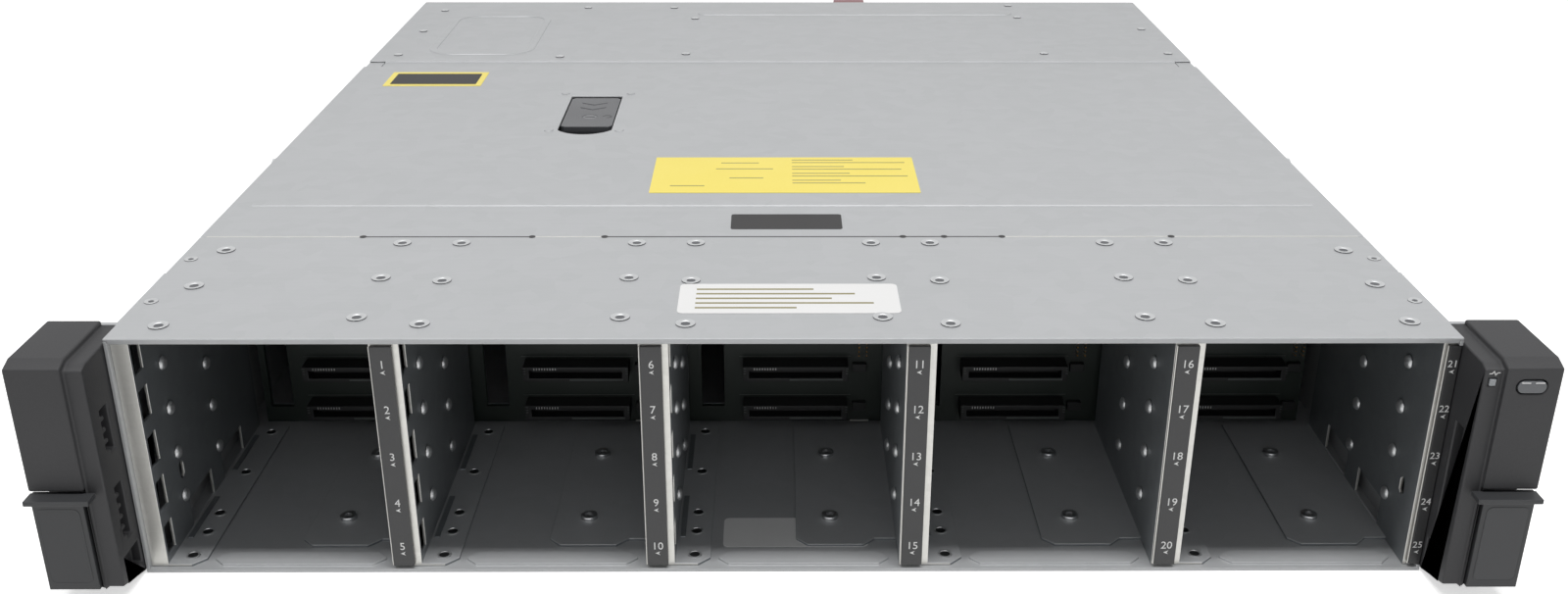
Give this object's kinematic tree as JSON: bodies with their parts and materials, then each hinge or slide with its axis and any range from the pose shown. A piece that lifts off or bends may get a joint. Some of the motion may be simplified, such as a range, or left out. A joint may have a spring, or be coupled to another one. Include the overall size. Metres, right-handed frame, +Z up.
{
  "type": "disk shelf enclosure",
  "caption": "Rack-mount storage shelf with empty front drive bays, a slide-off lidded top with a lift latch, rack ears with fold-down levers, and slide-out rear modules.",
  "frame": {"origin": "under the middle of the whole part, on the surface it stands on", "axes": "+Y from the drive bays towards the rear modules, +Z up, +X to the right as seen from the drive bays"},
  "size_m": [0.4826, 0.541, 0.0881],
  "materials": {
    "galvanised_steel": "galvanised sheet with a faint spangle",
    "bare_steel": "plain sheet steel",
    "black_plastic": "fine-grained moulded plastic",
    "dark_strip": "printed polycarbonate strip",
    "grey_plastic": "satin moulded handle",
    "board_green": "solder mask on glass-fibre board",
    "socket_plastic": "connector plastic",
    "lamp_clear": "clear light pipe",
    "release_plastic": "maroon moulded plastic",
    "zinc_steel": "bright zinc plate",
    "button_plastic": "smoked translucent plastic",
    "module_steel": "zinc-plated sheet"
  },
  "bodies": {
    "chassis": {"chassis_tray": "galvanised_steel", "drive_cage_top": "galvanised_steel", "rear_top_cover": "galvanised_steel", "left_guide_panel": "galvanised_steel", "right_guide_panel": "galvanised_steel", "bay_partition_1": "galvanised_steel", "bay_partition_2": "galvanised_steel", "bay_partition_3": "galvanised_steel", "bay_partition_4": "galvanised_steel", "cover_strike_brace": "bare_steel", "backplane_frame": "bare_steel", "rear_cage": "bare_steel", "left_ear_bracket": "bare_steel", "right_ear_bracket": "bare_steel", "left_ear_housing": "black_plastic", "right_ear_housing": "black_plastic", "number_strip_1": "dark_strip", "number_strip_2": "dark_strip", "number_strip_3": "dark_strip", "number_strip_4": "dark_strip", "number_strip_5": "dark_strip", "backplane_board": "board_green", "bridge_board": "board_green", "midplane_board": "board_green", "front_indicator_card": "board_green", "backplane_sockets": "socket_plastic", "bridge_plugs": "socket_plastic", "midplane_sockets": "socket_plastic", "backplane_lamps": "lamp_clear", "status_lens": "lamp_clear", "left_lever_pin": "zinc_steel", "right_lever_pin": "zinc_steel", "left_rack_screw": "zinc_steel", "right_rack_screw": "zinc_steel", "rail_studs": "zinc_steel"},
    "cover": {"access_cover": "galvanised_steel", "cover_latch_housing": "black_plastic", "cover_latch_pin": "zinc_steel"},
    "cover_handle": {"cover_latch_handle": "grey_plastic"},
    "cover_lock": {"cover_latch_lock": "zinc_steel"},
    "left_lever": {"left_ear_lever": "black_plastic"},
    "right_lever": {"right_ear_lever": "black_plastic"},
    "locate_key": {"locate_button": "button_plastic"},
    "supply_1": {"power_supply_1": "module_steel"},
    "supply_2": {"power_supply_2": "module_steel"},
    "supply_tab_1": {"power_release_1": "release_plastic"},
    "supply_tab_2": {"power_release_2": "release_plastic"},
    "fan_1": {"fan_module_1": "module_steel"},
    "fan_2": {"fan_module_2": "module_steel"},
    "fan_tab_1": {"fan_release_1": "release_plastic"},
    "fan_tab_2": {"fan_release_2": "release_plastic"},
    "rotor_1": {"fan_rotor_1": "black_plastic"},
    "rotor_2": {"fan_rotor_2": "black_plastic"},
    "controller_a": {"io_module_a": "module_steel"},
    "controller_b": {"io_module_b": "module_steel"},
    "ejector_a": {"io_ejector_a": "release_plastic"},
    "ejector_b": {"io_ejector_b": "release_plastic"}
  },
  "joints": [
    {"name": "latch_lift", "type": "hinge", "parent": "cover", "child": "cover_handle", "pos_m": [-0.0898, 0.035, 0.0826], "axis": [-1, 0, 0], "range_deg": [0, 90]},
    {"name": "cover_slide", "type": "slide", "parent": "chassis", "child": "cover", "axis": [0, 1, 0], "range_m": [0, 0.009]},
    {"name": "lock_turn", "type": "hinge", "parent": "cover_handle", "child": "cover_lock", "pos_m": [-0.0898, 0.0055, 0.0865], "axis": [0, 0, -1], "range_deg": [0, 90]},
    {"name": "left_lever_fold", "type": "hinge", "parent": "chassis", "child": "left_lever", "pos_m": [-0.2328, -0.2595, 0.0092], "axis": [1, 0, 0], "range_deg": [0, 75]},
    {"name": "right_lever_fold", "type": "hinge", "parent": "chassis", "child": "right_lever", "pos_m": [0.2328, -0.2595, 0.0092], "axis": [1, 0, 0], "range_deg": [0, 75]},
    {"name": "locate_press", "type": "slide", "parent": "chassis", "child": "locate_key", "axis": [0, 1, 0], "range_m": [0, 0.0012], "stiffness_N_per_m": 400},
    {"name": "supply_1_slide", "type": "slide", "parent": "chassis", "child": "supply_1", "axis": [0, 1, 0], "range_m": [0, 0.18]},
    {"name": "supply_1_release", "type": "slide", "parent": "supply_1", "child": "supply_tab_1", "axis": [1, 0, 0], "range_m": [0, 0.0025], "stiffness_N_per_m": 600},
    {"name": "fan_1_slide", "type": "slide", "parent": "chassis", "child": "fan_1", "axis": [0, 1, 0], "range_m": [0, 0.18]},
    {"name": "fan_1_release", "type": "slide", "parent": "fan_1", "child": "fan_tab_1", "axis": [1, 0, 0], "range_m": [0, 0.0025], "stiffness_N_per_m": 600},
    {"name": "rotor_1_spin", "type": "hinge", "parent": "fan_1", "child": "rotor_1", "pos_m": [-0.1362, 0.2265, 0.0434], "axis": [0, 1, 0], "continuous": true},
    {"name": "supply_2_slide", "type": "slide", "parent": "chassis", "child": "supply_2", "axis": [0, 1, 0], "range_m": [0, 0.18]},
    {"name": "supply_2_release", "type": "slide", "parent": "supply_2", "child": "supply_tab_2", "axis": [1, 0, 0], "range_m": [0, 0.0025], "stiffness_N_per_m": 600},
    {"name": "fan_2_slide", "type": "slide", "parent": "chassis", "child": "fan_2", "axis": [0, 1, 0], "range_m": [0, 0.18]},
    {"name": "fan_2_release", "type": "slide", "parent": "fan_2", "child": "fan_tab_2", "axis": [1, 0, 0], "range_m": [0, 0.0025], "stiffness_N_per_m": 600},
    {"name": "rotor_2_spin", "type": "hinge", "parent": "fan_2", "child": "rotor_2", "pos_m": [0.1362, 0.2265, 0.0434], "axis": [0, 1, 0], "continuous": true},
    {"name": "controller_a_slide", "type": "slide", "parent": "chassis", "child": "controller_a", "axis": [0, 1, 0], "range_m": [0, 0.18]},
    {"name": "ejector_a_swing", "type": "hinge", "parent": "controller_a", "child": "ejector_a", "pos_m": [0.08, 0.2575, 0.0722], "axis": [0, 0, -1], "range_deg": [0, 80]},
    {"name": "controller_b_slide", "type": "slide", "parent": "chassis", "child": "controller_b", "axis": [0, 1, 0], "range_m": [0, 0.18]},
    {"name": "ejector_b_swing", "type": "hinge", "parent": "controller_b", "child": "ejector_b", "pos_m": [0.08, 0.2575, 0.0304], "axis": [0, 0, -1], "range_deg": [0, 80]}
  ],
  "couplings": [
    {"joint": "latch_lift", "follows": "cover_slide", "rad_per_m": 174.53}
  ]
}
